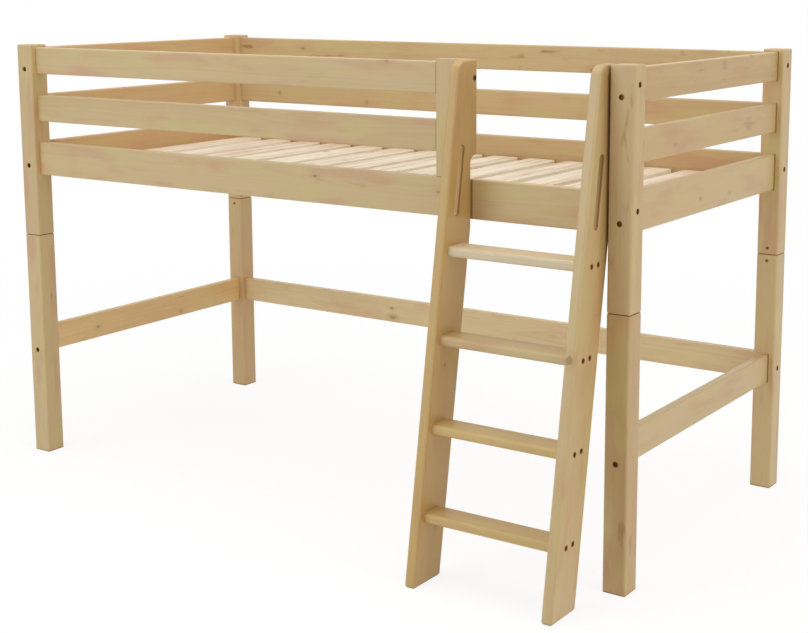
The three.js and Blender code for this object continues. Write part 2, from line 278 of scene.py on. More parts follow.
def pin_knots(w, place, knot_share):
    """Small round knots here and there"""
    near = w.vector_math("MULTIPLY", place, (1 / PIN_CELL,) * 3)
    feeds = {"Vector": near, "Scale": 1.0, "Randomness": PIN_SCATTER}
    pins = w.add("ShaderNodeTexVoronoi", feeds).outputs
    chance = w.add("ShaderNodeSeparateColor", {0: pins["Color"]}).outputs[0]
    rare = w.math("LESS_THAN", chance, w.math("MULTIPLY", knot_share, PIN_SHARE))
    return w.math("MULTIPLY", w.ramp(pins["Distance"], *PIN_EDGE), rare)


def late_wood(w, place, bend, ring_width):
    """The late wood of the yearly rings round the pith, pushed aside by the branches"""
    y, z = w.parts(place)[1:]
    bow = w.math("MULTIPLY", w.varied(place, *BOW), BOW_DEPTH)
    ripple = w.math("MULTIPLY", w.varied(place, *RIPPLE), RIPPLE_DEPTH)
    straight = w.math("SQRT", w.math("ADD", w.math("MULTIPLY", y, y), w.math("MULTIPLY", z, z)))
    local = w.math("ADD", ripple, w.math("MULTIPLY", bend, RING_BEND))
    depth = w.math("ADD", w.math("ADD", straight, bow), local)
    years = w.math("DIVIDE", depth, ring_width)
    uneven = w.noise(w.vector(w.math("MULTIPLY", years, UNEVEN_PACE), 0.0, 0.0), 1.0)
    years = w.sum_of(years, (uneven, UNEVEN_YEARS))
    season = w.math("FRACT", years)
    chance = w.add("ShaderNodeTexWhiteNoise", {"W": w.math("FLOOR", years)}, noise_dimensions="1D")
    weakest, spread = VIGOUR
    vigour = w.sum_of(weakest, (chance.outputs["Value"], spread))
    late = w.math("MULTIPLY", w.math("POWER", season, LATE_POWER), w.ramp(season, *LATE_EDGE))
    return w.math("MULTIPLY", late, vigour)


def end_grain(w, along):
    """1 on a face across the board, 0 on its long faces"""
    facing = w.add("ShaderNodeNewGeometry").outputs["True Normal"]
    turned = w.vector_math("DOT_PRODUCT", facing, along, result="Value")
    return w.ramp(w.math("ABSOLUTE", turned), *END_EDGE)


def make_grain():
    """Sawn pine as a solid pattern. Place is in metres: x along the board, y and z from the pith.
    Along is the board's own direction, for its end grain"""
    tree, w, given, out = make_group(
        "pine grain",
        "ShaderNodeTree",
        [
            ("Place", VECTOR),
            ("Along", VECTOR),
            ("Early Wood", COLOUR),
            ("Late Wood", COLOUR),
            ("Heart Tint", COLOUR),
            ("Sap Tint", COLOUR),
            ("Knot", COLOUR),
            ("Ring Width", FLOAT, 0.003),
            ("Ring Contrast", FLOAT, 0.4),
            ("Streak Contrast", FLOAT, 0.4),
            ("Smudges", FLOAT, 0.2),
            ("Knot Share", FLOAT, 0.3),
            ("Tone", FLOAT, 0.0),
        ],
        [("Color", COLOUR), ("Roughness", FLOAT), ("Height", FLOAT)],
    )
    place = given["Place"]
    knot, rim, halo, bend, away, knot_tone = branch_knots(w, place, given["Knot Share"])
    late = late_wood(w, place, bend, given["Ring Width"])

    # fibres, streaks and slow changes of tone along the board
    fibre, streak, cloud = (w.varied(place, *kind) for kind in (FIBRE, STREAK, CLOUD))
    heart, sap = (w.ramp(w.varied(place, *kind), *PATCH_EDGE) for kind in (HEART, SAP))
    smudge = w.ramp(w.varied(place, *SMUDGE), *SMUDGE_EDGE)

    # end grain is darker and takes less shine
    end = end_grain(w, given["Along"])
    amount = w.sum_of(
        0.0,
        (late, given["Ring Contrast"]),
        (end, w.sum_of(END_DARK, (late, END_RINGS))),
        (streak, given["Streak Contrast"]),
        (smudge, given["Smudges"]),
        (halo, HALO_DARK),
        (given["Tone"], 1.0),
        (cloud, CLOUD_DARK),
        clamp=True,
    )
    wood = w.blend(amount, given["Early Wood"], given["Late Wood"])
    wood = w.blend(w.math("MULTIPLY", heart, HEART_COVER), wood, given["Heart Tint"])
    wood = w.blend(w.math("MULTIPLY", sap, SAP_COVER), wood, given["Sap Tint"])
    light = w.sum_of(1.0, (fibre, FIBRE_LIGHT))
    wood = w.blend(1.0, wood, w.vector(light, light, light), "MULTIPLY")

    # knots, with fine rings inside and a dark rim
    inner = w.math("SINE", w.math("MULTIPLY", away, KNOT_RING_PACE))
    body = w.sum_of(w.ramp(knot_tone, 0, 1, *KNOT_COVER), (inner, KNOT_RINGS))
    wood = w.blend(w.math("MULTIPLY", knot, body), wood, given["Knot"])
    dark = w.blend(0.5, given["Knot"], RIM_DARK)
    wood = w.blend(w.math("MULTIPLY", rim, w.ramp(knot_tone, 0, 1, *RIM_COVER)), wood, dark)
    pin = pin_knots(w, place, given["Knot Share"])
    wood = w.blend(w.math("MULTIPLY", pin, PIN_COVER), wood, dark)

    w.feed(out["Color"], wood)
    rough = ((fibre, FIBRE_ROUGH), (late, LATE_ROUGH), (end, END_ROUGH), (knot, KNOT_ROUGH))
    w.feed(out["Roughness"], w.sum_of(WOOD_ROUGH, *rough))
    high = ((late, LATE_HIGH), (fibre, FIBRE_HIGH), (knot, KNOT_HIGH), (rim, RIM_HIGH))
    w.feed(out["Height"], w.sum_of(0.0, *high))
    return tree


# Kinds of pine

PINE = {
    "Early Wood": paint("d6b987"),
    "Late Wood": paint("b5894c"),
    "Heart Tint": paint("d09c78"),
    "Sap Tint": paint("d2c07e"),
    "Knot": paint("8f5a22"),
    "Ring Width": 0.0038,
    "Ring Contrast": 0.25,
    "Streak Contrast": 0.30,
    "Smudges": 0.22,
    "Knot Share": 0.24,
}


def tinted(early, heart, sap, **changes):
    """The same pine in other tints"""
    tints = {"Early Wood": paint(early), "Heart Tint": paint(heart), "Sap Tint": paint(sap)}
    return {**PINE, **tints, **changes}


GOLDEN_PINE = tinted("d8b776", "d2a86e", "d8b972", **{"Ring Contrast": 0.55})
ORANGE_PINE = tinted("dab886", "d8a878", "d6b87a")
KNOTTY_PINE = {
    **PINE,
    "Early Wood": paint("d2b27e"),
    "Late Wood": paint("a97b42"),
    "Heart Tint": paint("cb9a70"),
    "Ring Contrast": 0.20,
    "Streak Contrast": 0.40,
    "Smudges": 0.50,
    "Knot Share": 0.45,
}
SMUDGED_PINE = {**KNOTTY_PINE, "Early Wood": PINE["Early Wood"], "Smudges": 0.70}
BOARD_PINE = {
    # the left ladder side is tinted darker and browner, as painted shade for its shaded inner face
    "ladder_stringer_left": tinted("cda766", "c5985e", "caaa62"),
    "ladder_stringer_right": {**PINE, "Heart Tint": paint("cfa677")},
    "ladder_tread_1": GOLDEN_PINE,
    "ladder_tread_2": GOLDEN_PINE,
    "ladder_tread_4": tinted("e8d6b2", "e4c6a2", "e8d8aa"),
    # the two stretchers low under the bed are tinted paler, as painted light
    "back_stretcher": tinted("ebd1a0", "e7be92", "ead49a"),
    "left_stretcher": tinted("f2cc90", "e8b880", "eacb8a"),
    "back_left_leg": ORANGE_PINE,
    "left_end_rail": ORANGE_PINE,
    "left_guard_rail_mid": ORANGE_PINE,
    "left_guard_rail_top": ORANGE_PINE,
    "right_guard_rail_top": KNOTTY_PINE,
    "right_guard_rail_mid": KNOTTY_PINE,
    "front_right_post": SMUDGED_PINE,
    "front_right_leg": KNOTTY_PINE,
    "back_guard_rail_top": SMUDGED_PINE,
}
RAW_PINE = {
    "Early Wood": paint("fdf0d9"),
    "Late Wood": paint("bf9169"),
    "Heart Tint": paint("efc6ac"),
    "Sap Tint": paint("f7efdf"),
    "Knot": paint("80461c"),
    "Ring Width": 0.0066,
    "Ring Contrast": 0.9,
    "Streak Contrast": 3.0,
    "Smudges": 0.2,
    "Knot Share": 0.38,
}


# Painted shade and painted light along lines in the wood

ALL_ROUND = (1, 1, 1)
ONLY_Z = (0, 0, 1)
SHARP_FADE = 0.0007
FULL_SHADE = 0.0001


def make_shade_line():
    """Painted shade along the line from Start to End and within Radius of it, that ends over Fade; the
    grip slots use it for painted light too. Spread is 0 in a direction in which the shade goes on"""
    tree, w, given, out = make_group(
        "painted shade line",
        "ShaderNodeTree",
        [
            ("Place", VECTOR),
            ("Start", VECTOR),
            ("End", VECTOR),
            ("Spread", VECTOR),
            ("Radius", FLOAT, 0.007),
            ("Strength", FLOAT, 0.8),
            ("Fade", FLOAT, SHARP_FADE),
        ],
        [("Shade", FLOAT)],
    )
    flat, start, end = (
        w.vector_math("MULTIPLY", given[key], given["Spread"]) for key in ("Place", "Start", "End")
    )
    line = w.vector_math("SUBTRACT", end, start)
    here = w.vector_math("SUBTRACT", flat, start)
    reach = w.vector_math("DOT_PRODUCT", line, line, result="Value")
    passed = w.vector_math("DOT_PRODUCT", here, line, result="Value")
    share = w.math("DIVIDE", passed, reach, clamp=True)
    near = w.add("ShaderNodeVectorMath", {0: line, "Scale": share}, operation="SCALE").outputs[0]
    away = w.vector_math("DISTANCE", here, near, result="Value")
    beyond = w.math("SUBTRACT", away, given["Radius"])
    shade = w.ramp(beyond, given["Fade"], FULL_SHADE)
    w.feed(out["Shade"], w.math("MULTIPLY", shade, given["Strength"]))
    return tree


def shade_line(start, end, radius, strength, tint, spread=ALL_ROUND, fade=SHARP_FADE):
    """The values of one line of painted shade and its tint; in the grip slots the tint is painted light
    """
    values = {"Start": start, "End": end, "Spread": spread}
    values.update({"Radius": radius, "Strength": strength, "Fade": fade})
    return values, tint


# Materials

GRAIN = make_grain()
SHADE_LINE = make_shade_line()

LACQUER = 0.25
LACQUER_ROUGHNESS = 0.32
SHADE_ROUGHNESS = 0.4
GRAIN_BUMP = {"Strength": 0.35, "Distance": 0.0006}

# a section less than so many times as wide as thick counts as square
SQUARE_LIMIT = 1.3
NEARLY_ALONG = 0.9

# how far the pith lies from a board's middle, through it and to the side, and the rest by chance
SQUARE_PITH, SQUARE_PITH_SIDE = (0.045, 0.07), (-0.05, 0.05)
BOARD_PITH, BOARD_PITH_SIDE = (0.05, 0.10), (-0.045, 0.045)
PLACE_IN_LOG = (3.0, 40.0)
BOARD_TONE = (-0.10, 0.14)

STEEL_COLOUR = "9c6c2c"
STEEL_ROUGHNESS, STEEL_UNEVEN = 0.42, 0.3
STEEL_FINE, STEEL_COARSE = 900, 160
STEEL_DEEP = 0.55
STEEL_BUMP = {"Strength": 0.2, "Distance": 0.0001}


def make_wood(name, values, coat, along, pith, toward, tone=0.0, shift=None, shade_lines=()):
    """A wood material for one board: along its length, its rings round the pith, toward its middle"""
    material = bpy.data.materials.new(name)
    w = emptied(material)
    sideways = along.cross(toward).normalized()
    turn = Matrix((along, toward, sideways)).transposed()
    point = here = w.add("ShaderNodeTexCoord").outputs["Object"]
    if shift:
        here, tone = shift(w, here)
    feeds = {"Vector": here, "Location": pith, "Rotation": turn.to_euler()}
    place = w.add("ShaderNodeMapping", feeds, vector_type="TEXTURE").outputs[0]
    feeds = {**values, "Place": place, "Along": along, "Tone": tone}
    look = w.add("ShaderNodeGroup", feeds, node_tree=GRAIN).outputs
    colour, roughness = look["Color"], look["Roughness"]
    # painted shade, and painted light deep in the grip slots, blended into the wood's colour, with less
    # lacquer and more roughness there
    shades = {}
    for line, tint in shade_lines:
        shade = w.add("ShaderNodeGroup", {**line, "Place": point}, node_tree=SHADE_LINE).outputs[0]
        shades[tint] = w.math("MAXIMUM", shades[tint], shade) if tint in shades else shade
    for tint, shade in shades.items():
        colour = w.blend(shade, colour, paint(tint))
        coat = w.math("MULTIPLY", w.math("SUBTRACT", 1.0, shade), coat)
        roughness = w.sum_of(roughness, (shade, SHADE_ROUGHNESS), clamp=True)
    bump = w.add("ShaderNodeBump", {"Height": look["Height"], **GRAIN_BUMP})
    feeds = {
        "Base Color": colour,
        "Roughness": roughness,
        "Normal": bump.outputs[0],
        "Coat Weight": coat,
        "Coat Roughness": LACQUER_ROUGHNESS,
    }
    shader = w.add("ShaderNodeBsdfPrincipled", feeds)
    w.add("ShaderNodeOutputMaterial", {"Surface": shader.outputs[0]})
    return material


def board_wood(name, along, shade_lines):
    """The lacquered wood of one CAD board, with its own place in the log"""
    low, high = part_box(name)
    size, centre = high - low, (low + high) / 2
    dice = random.Random(f"{name} 0")
    if along is None:
        longest = max(range(3), key=lambda i: size[i])
        along = Vector([float(i == longest) for i in range(3)])
    across = sorted((i for i in range(3) if abs(along[i]) < NEARLY_ALONG), key=lambda i: size[i])
    thin = Vector([float(i == across[0]) for i in range(3)])
    thin = (thin - along * thin.dot(along)).normalized()
    wide = along.cross(thin).normalized()
    if size[across[1]] / size[across[0]] < SQUARE_LIMIT:
        pith = centre + thin * dice.uniform(*SQUARE_PITH) + wide * dice.uniform(*SQUARE_PITH_SIDE)
    else:
        side = dice.choice((-1, 1))
        pith = centre + thin * side * dice.uniform(*BOARD_PITH) + wide * dice.uniform(*BOARD_PITH_SIDE)
    pith += along * dice.uniform(*PLACE_IN_LOG)
    toward = centre - pith
    toward = (toward - along * toward.dot(along)).normalized()
    tone = dice.uniform(*BOARD_TONE)
    kind = BOARD_PINE.get(name, PINE)
    return make_wood(f"{name} wood", kind, LACQUER, along, pith, toward, tone, None, shade_lines)


def make_steel(name):
    """Zinc-plated steel with a fine uneven plating"""
    material = bpy.data.materials.new(name)
    w = emptied(material)
    here = w.add("ShaderNodeTexCoord").outputs["Object"]
    fine = w.varied(here, STEEL_FINE, STEEL_FINE, 3.0)
    coarse = w.varied(here, STEEL_COARSE, STEEL_COARSE)
    colour = paint(STEEL_COLOUR)
    deep = [c * STEEL_DEEP for c in colour[:3]] + [1.0]
    bump = w.add("ShaderNodeBump", {"Height": fine, **STEEL_BUMP})
    feeds = {
        "Base Color": w.blend(w.sum_of(0.5, (coarse, 0.5), clamp=True), deep, colour),
        "Metallic": 1.0,
        "Roughness": w.sum_of(STEEL_ROUGHNESS, (fine, STEEL_UNEVEN)),
        "Normal": bump.outputs[0],
    }
    shader = w.add("ShaderNodeBsdfPrincipled", feeds)
    w.add("ShaderNodeOutputMaterial", {"Surface": shader.outputs[0]})
    return material


# Repeated pieces

EASED_STEPS = 3
EASED_ANGLE = 40
HEAD_SIDES, SHANK_SIDES = 32, 24
HEAD_OVERLAP = 0.0006
RECESS_START = 0.001
CORNER_STEPS = 7
SAME_POINT = 1e-5
TURN_SEED, STRAY_SEED = 11, 5


def grown(name, tree, values, bevel, marks=()):
    """The plain mesh that a geometry tree makes with the given values, in place, its edges eased.
    Marks are the places, each with an aim, at which the tree may set its copies"""
    base = bpy.data.meshes.new(name)
    base.from_pydata([place for place, aim in marks], [], [])
    aims = base.attributes.new("aim", "FLOAT_VECTOR", "POINT")
    aims.data.foreach_set("vector", [value for place, aim in marks for value in aim])
    piece = put_in_scene(name, base)
    modifier = piece.modifiers.new("shape", "NODES")
    modifier.node_group = tree
    for item in tree.interface.items_tree:
        if item.item_type == "SOCKET" and item.in_out == "INPUT" and item.name in values:
            modifier[item.identifier] = values[item.name]
    eased = piece.modifiers.new("eased edges", "BEVEL")
    eased.width, eased.segments, eased.harden_normals = bevel, EASED_STEPS, True
    eased.limit_method, eased.angle_limit = "ANGLE", math.radians(EASED_ANGLE)
    graph = bpy.context.evaluated_depsgraph_get()
    mesh = bpy.data.meshes.new_from_object(piece.evaluated_get(graph), depsgraph=graph)
    piece.modifiers.clear()
    piece.data = mesh
    mesh.name = name
    return piece


def make_bolt_tree():
    """Round-headed bolts with a recess in the head, one at each mark, each turned by chance"""
    tree, w, given, out = make_group(
        "bolts",
        "GeometryNodeTree",
        [
            ("Marks", GEOMETRY),
            ("Sink", FLOAT, 0.006),
            ("Head Radius", FLOAT, 0.006),
            ("Head Height", FLOAT, 0.005),
            ("Shank Radius", FLOAT, 0.004),
            ("Shank Length", FLOAT, 0.09),
            ("Recess Sides", INTEGER, 6),
            ("Recess Radius", FLOAT, 0.003),
            ("Recess Depth", FLOAT, 0.003),
            ("Recess Narrowing", FLOAT, 1.0),
            ("Steel", MATERIAL),
        ],
        [("Geometry", GEOMETRY)],
    )

    def rod(sides, radius, low, high, narrowing=1.0):
        """A prism from low to high along Z"""
        depth = w.math("SUBTRACT", high, low)
        feeds = {"Vertices": sides, "Radius": radius, "Depth": depth}
        made = w.add("GeometryNodeMeshCylinder", feeds).outputs[0]
        middle = w.math("MULTIPLY", w.math("ADD", low, high), 0.5)
        feeds = {"Geometry": made, "Translation": w.vector(0.0, 0.0, middle)}
        feeds["Scale"] = w.vector(1.0, narrowing, 1.0)
        return w.add("GeometryNodeTransform", feeds).outputs[0]

    # one bolt, its mouth at the origin and its shank along Z
    head_end = w.math("ADD", given["Sink"], given["Head Height"])
    shank_start = w.math("SUBTRACT", head_end, HEAD_OVERLAP)
    shank_end = w.math("ADD", head_end, given["Shank Length"])
    whole = w.add("GeometryNodeMeshBoolean", operation="UNION", solver="EXACT")
    for part in (
        rod(HEAD_SIDES, given["Head Radius"], given["Sink"], head_end),
        rod(SHANK_SIDES, given["Shank Radius"], shank_start, shank_end),
    ):
        w.feed(whole.inputs["Mesh 2"], part)
    floor = w.math("ADD", given["Sink"], given["Recess Depth"])
    above = w.math("SUBTRACT", given["Sink"], RECESS_START)
    recess = rod(given["Recess Sides"], given["Recess Radius"], above, floor, given["Recess Narrowing"])
    feeds = {"Mesh 1": whole.outputs[0], "Mesh 2": recess}
    bored = w.add("GeometryNodeMeshBoolean", feeds, operation="DIFFERENCE", solver="EXACT")
    smooth = w.add("GeometryNodeSetShadeSmooth", {"Geometry": bored.outputs[0]})

    # a copy at each mark, turned to its aim and then round it
    aim = w.add("GeometryNodeInputNamedAttribute", {"Name": "aim"}, data_type="FLOAT_VECTOR").outputs[0]
    facing = w.add("FunctionNodeAlignRotationToVector", {"Vector": aim}, axis="Z").outputs[0]
    feeds = {0: (0.0, 0.0, -math.pi), 1: (0.0, 0.0, math.pi), "Seed": TURN_SEED}
    chance = w.add("FunctionNodeRandomValue", feeds, data_type="FLOAT_VECTOR").outputs[0]
    roll = w.add("FunctionNodeEulerToRotation", {0: chance}).outputs[0]
    feeds = {"Rotation": facing, "Rotate By": roll}
    turned = w.add("FunctionNodeRotateRotation", feeds, rotation_space="LOCAL").outputs[0]
    feeds = {"Points": given["Marks"], "Instance": smooth.outputs[0], "Rotation": turned}
    placed = w.add("GeometryNodeInstanceOnPoints", feeds).outputs[0]
    solid = w.add("GeometryNodeRealizeInstances", {0: placed}).outputs[0]
    done = w.add("GeometryNodeSetMaterial", {"Geometry": solid, "Material": given["Steel"]})
    w.feed(out["Geometry"], done.outputs[0])
    return tree


def make_slat_tree():
    """A row of slats: one rounded outline given thickness, set out at an even pitch"""
    tree, w, given, out = make_group(
        "slat row",
        "GeometryNodeTree",
        [
            ("Count", INTEGER, 15),
            ("Start", VECTOR),
            ("Pitch", FLOAT, 0.13),
            ("Width", FLOAT, 0.09),
            ("Length", FLOAT, 0.9),
            ("Thickness", FLOAT, 0.018),
            ("Corner Radius", FLOAT, 0.018),
            ("Play", FLOAT, 0.001),
            ("Wood", MATERIAL),
        ],
        [("Geometry", GEOMETRY)],
    )

    # one slat
    feeds = {"Width": given["Width"], "Height": given["Length"]}
    outline = w.add("GeometryNodeCurvePrimitiveQuadrilateral", feeds).outputs[0]
    feeds = {"Curve": outline, "Radius": given["Corner Radius"], "Count": CORNER_STEPS}
    rounded = w.add("GeometryNodeFilletCurve", feeds, mode="POLY").outputs[0]
    face = w.add("GeometryNodeFillCurve", {0: rounded}, mode="NGONS").outputs[0]
    feeds = {"Mesh": face, "Offset": (0, 0, 1), "Offset Scale": given["Thickness"], "Individual": False}
    raised = w.add("GeometryNodeExtrudeMesh", feeds).outputs[0]
    under = w.add("GeometryNodeFlipFaces", {0: face}).outputs[0]
    both = w.add("GeometryNodeJoinGeometry")
    for part in (raised, under):
        w.feed(both.inputs[0], part)
    feeds = {"Geometry": both.outputs[0], "Distance": SAME_POINT}
    slat = w.add("GeometryNodeMergeByDistance", feeds).outputs[0]

    # the row, in which each slat lies a little out of place and carries its number
    step = w.vector(given["Pitch"], 0.0, 0.0)
    feeds = {"Count": given["Count"], "Start Location": given["Start"], "Offset": step}
    row = w.add("GeometryNodeMeshLine", feeds).outputs[0]
    play = w.vector(given["Play"], given["Play"], 0.0)
    feeds = {0: w.vector_math("MULTIPLY", play, (-1, -1, 0)), 1: play, "Seed": STRAY_SEED}
    stray = w.add("FunctionNodeRandomValue", feeds, data_type="FLOAT_VECTOR").outputs[0]
    loose = w.add("GeometryNodeSetPosition", {"Geometry": row, "Offset": stray}).outputs[0]
    number = w.add("GeometryNodeInputIndex").outputs[0]
    feeds = {"Geometry": loose, "Name": "slat_number", "Value": number}
    store = "GeometryNodeStoreNamedAttribute"
    tagged = w.add(store, feeds, data_type="FLOAT", domain="POINT").outputs[0]
    laid = w.add("GeometryNodeInstanceOnPoints", {"Points": tagged, "Instance": slat}).outputs[0]
    solid = w.add("GeometryNodeRealizeInstances", {0: laid}).outputs[0]
    done = w.add("GeometryNodeSetMaterial", {"Geometry": solid, "Material": given["Wood"]})
    w.feed(out["Geometry"], done.outputs[0])
    return tree


# Studio

SURROUNDINGS, SURROUNDINGS_GLOW = (0.94, 0.98, 1, 1), 0.39
WHITE = (1, 1, 1, 1)
FLOOR_CARD = (0.9, 0.89, 0.87, 1)
FLOOR_REACH = 60.0
FLOOR_STEPS = 96

# the floor as the camera sees it: near the bed it keeps the bed's shadow, far from it it is plain white
FLOOR_NEAR = 1.6
FLOOR_FAR = 4.5
FLOOR_SHARE = 0.76
FLOOR_GLOW = 1.11

# name, place, aim, width, height, power and colour
LAMPS = (
    ("front left light", (-2.3, -5.3, 2.4), (0, 0, 0.7), 3.5, 3.0, 77, (0.83, 0.915, 1.0)),
    ("right light", (5.4, -0.75, 1.6), (0.6, 0, 0.7), 2.4, 2.6, 48.5, (1.0, 0.905, 0.71)),
    ("overhead light", (0.2, -0.2, 4.6), (0, 0, 0.7), 4.5, 3.5, 97, (1, 1, 1)),
)


def in_view(w):
    """1 for what the camera sees, also in a shine or through glass, 0 for what lights the bed"""
    path = w.add("ShaderNodeLightPath").outputs
    seen = w.math("MAXIMUM", path["Is Camera Ray"], path["Is Glossy Ray"])
    return w.math("MAXIMUM", seen, path["Is Transmission Ray"])


def make_surroundings():
    """White to the camera, and a soft cool glow on the bed"""
    world = bpy.data.worlds.new("studio")
    bpy.context.scene.world = world
    w = emptied(world)
    glow = w.add("ShaderNodeBackground", {"Color": SURROUNDINGS, "Strength": SURROUNDINGS_GLOW})
    white = w.add("ShaderNodeBackground", {"Color": WHITE, "Strength": 1.0})
    shown = w.add("ShaderNodeMixShader", {0: in_view(w), 1: glow.outputs[0], 2: white.outputs[0]})
    w.add("ShaderNodeOutputWorld", {"Surface": shown.outputs[0]})


def make_floor():
    """A round white floor"""
    material = bpy.data.materials.new("white floor")
    w = emptied(material)
    seen = in_view(w)
    card = w.add("ShaderNodeBsdfDiffuse", {"Color": FLOOR_CARD})
    apart = w.vector_math("LENGTH", w.add("ShaderNodeTexCoord").outputs["Object"], result="Value")
    far = w.ramp(apart, FLOOR_NEAR, FLOOR_FAR)
    strength = w.sum_of(FLOOR_GLOW, (far, 1.0 - FLOOR_GLOW))
    lit = w.add("ShaderNodeEmission", {"Color": WHITE, "Strength": strength})
    share = w.math("MULTIPLY", seen, w.sum_of(FLOOR_SHARE, (far, 1.0 - FLOOR_SHARE)))
    mixed = w.add("ShaderNodeMixShader", {0: share, 1: card.outputs[0], 2: lit.outputs[0]})
    w.add("ShaderNodeOutputMaterial", {"Surface": mixed.outputs[0]})

    angles = [math.tau * k / FLOOR_STEPS for k in range(FLOOR_STEPS)]
    ring = [(FLOOR_REACH * math.cos(a), FLOOR_REACH * math.sin(a), 0.0) for a in angles]
    mesh = bpy.data.meshes.new("floor")
    mesh.from_pydata(ring, [], [tuple(range(FLOOR_STEPS))])
    mesh.materials.append(material)
    floor = put_in_scene("floor", mesh)


def make_lamps():
    """Soft light from the front left, from the right and from above"""
    for name, place, aim, width, height, power, colour in LAMPS:
        lamp = bpy.data.lights.new(name, "AREA")
        lamp.shape, lamp.size, lamp.size_y = "RECTANGLE", width, height
        lamp.energy, lamp.color = power, colour
        stand = put_in_scene(name, lamp)
        way = (Vector(aim) - Vector(place)).to_track_quat("-Z", "Y")
        stand.matrix_world = Matrix.Translation(place) @ way.to_matrix().to_4x4()


# Where the bolts, screws and nuts go

TREAD_SCREW_SETBACK = 0.039
TREAD_SCREW_OFFSET = 0.016
NUT_OFFSET = 0.0185


def middle_of(name):
    """The middle of a CAD node's box"""
    low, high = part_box(name)
    return (low + high) / 2


def frame_bolt_marks():
    """Mouth and direction of every frame bolt: three levels on both outer faces of each corner post"""
    marks = []
    outer_low, outer_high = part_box("front_left_post")[0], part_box("back_right_post")[1]
    for level in (1, 2, 3):
        low_z = middle_of(f"bolt_front_left_y_{level}").z
        high_z = middle_of(f"bolt_back_right_x_{level}").z
        for side in ("left", "right"):
            for face in ("front", "back"):
                post = middle_of(f"{face}_{side}_post")
                edge_y, way_y = (outer_low.y, 1) if face == "front" else (outer_high.y, -1)
                marks.append(((post.x, edge_y, low_z), (0, way_y, 0)))
                # along the front there is no low board, and the ladder's bolt is at the top right
                bare_levels = {"left": (3,), "right": (1, 3)}[side] if face == "front" else ()
                if level not in bare_levels:
                    edge_x, way_x = (outer_low.x, 1) if side == "left" else (outer_high.x, -1)
                    marks.append(((edge_x, post.y, high_z), (way_x, 0, 0)))
    return marks


def ladder_bolt_marks():
    """Mouth and direction of the bolts that hold the ladder: from its left side, and through the post"""
    left = middle_of("bolt_ladder_left")
    right = middle_of("bolt_ladder_right")
    left_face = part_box("ladder_stringer_left")[1].x
    right_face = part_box("front_right_post")[1].x
    return [((left_face, left.y, left.z), (-1, 0, 0))], [((right_face, right.y, right.z), (-1, 0, 0))]


def tread_screw_marks():
    """Mouth and direction of the two screws at each end of every tread"""
    marks = []
    left_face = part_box("ladder_stringer_left")[0].x
    right_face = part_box("ladder_stringer_right")[1].x
    for tread in (1, 2, 3, 4):
        middle = middle_of(f"ladder_tread_{tread}")
        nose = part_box(f"ladder_tread_{tread}")[0].y
        for offset in (-TREAD_SCREW_OFFSET, TREAD_SCREW_OFFSET):
            place_y = nose + TREAD_SCREW_SETBACK + offset
            marks.append(((left_face, place_y, middle.z), (1, 0, 0)))
            marks.append(((right_face, place_y, middle.z), (-1, 0, 0)))
    return marks


def cross_nut_marks():
    """Mouth and direction of the nuts above and below each seam, on the inner faces of the posts"""
    marks = []
    for side in ("left", "right"):
        for face in ("front", "back"):
            low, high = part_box(f"{face}_{side}_post")
            seam = (low.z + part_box(f"{face}_{side}_leg")[1].z) / 2
            edge, way = (high.y, -1) if face == "front" else (low.y, 1)
            for offset in (-NUT_OFFSET, NUT_OFFSET):
                marks.append((((low.x + high.x) / 2, edge, seam + offset), (0, way, 0)))
    return marks


frame_bolts = frame_bolt_marks()
left_bolt, right_bolt = ladder_bolt_marks()
tread_screws = tread_screw_marks()
cross_nuts = cross_nut_marks()


# Painted shade and light of each board

# tint of the painted shade in the drilled holes
PAINTED_HOLE_SHADE_TONE = "84501e"
# tint of the painted shade at joints, seams and feet
PAINTED_GAP_SHADE_TONE = "7c4a0c"
# tint of the painted shade in the narrow gaps beside the ladder
PAINTED_DEEP_GAP_SHADE_TONE = "86561c"
# tint of the post's soft painted shadow on the ladder's right side
PAINTED_POST_SHADOW_TONE = "946d31"
# tints of the painted light deep in the grip slots and of the painted shadow at their outer edge
SLOT_PAINTED_LIGHT_TONE = "ecd09a"
SLOT_SHADOW = "96642a"

# the holes with painted shade: their marks, radius and depth
HOLES = (
    (frame_bolts + left_bolt + right_bolt, 0.007, 0.011),
    (tread_screws, 0.0072, 0.007),
    (cross_nuts, 0.0045, 0.009),
)
HOLE_SHADE = 0.9
HOLE_START = 0.0005
HOLE_TEST, HOLE_MARGIN = 0.002, 0.001

SLOT_TOP, SLOT_FOOT = Vector((0, -0.3973, 1.063)), Vector((0, -0.4222, 0.911))
SLOT_RADIUS = 0.011
# strength of the painted light deep in each ladder side's grip slot
SLOT_PAINTED_LIGHT_STRENGTH = {"ladder_stringer_left": 0.85, "ladder_stringer_right": 0.25}
SLOT_DEEP, SLOT_REACH = 0.016, 0.0112
SLOT_EDGE, SLOT_EDGE_SHADE = 0.0028, 0.65

# radius and strength of the painted shade at gaps, joints, seams and feet
POST_GAP, POST_GAP_SHADE = 0.0065, 0.65
POST_GAP_TOP, POST_GAP_FOOT = 0.03, 0.70
SOFT_FADE, SOFT_SHADE = 0.045, 0.65
RAIL_GAP, RAIL_GAP_SHADE = 0.0024, 0.65
JOINT, JOINT_SHADE = 0.0025, 0.6
SEAM, SEAM_SHADE = 0.0005, 0.7
FOOT, FOOT_SHADE = 0.0040, 0.6
LEVEL_STEP = Vector((0, 0, 0.0001))
RIGHT_BOARDS = ("right_guard_rail_top", "right_guard_rail_mid", "right_end_rail", "right_stretcher")


def upright(x, y, low_z, high_z):
    """The two ends of an upright line"""
    return Vector((x, y, low_z)), Vector((x, y, high_z))


def level_shade(z, radius, strength):
    """Painted shade all round a board at one height"""
    place = Vector((0, 0, z))
    return shade_line(place - LEVEL_STEP, place + LEVEL_STEP, radius, strength, PAINTED_GAP_SHADE_TONE, ONLY_Z)


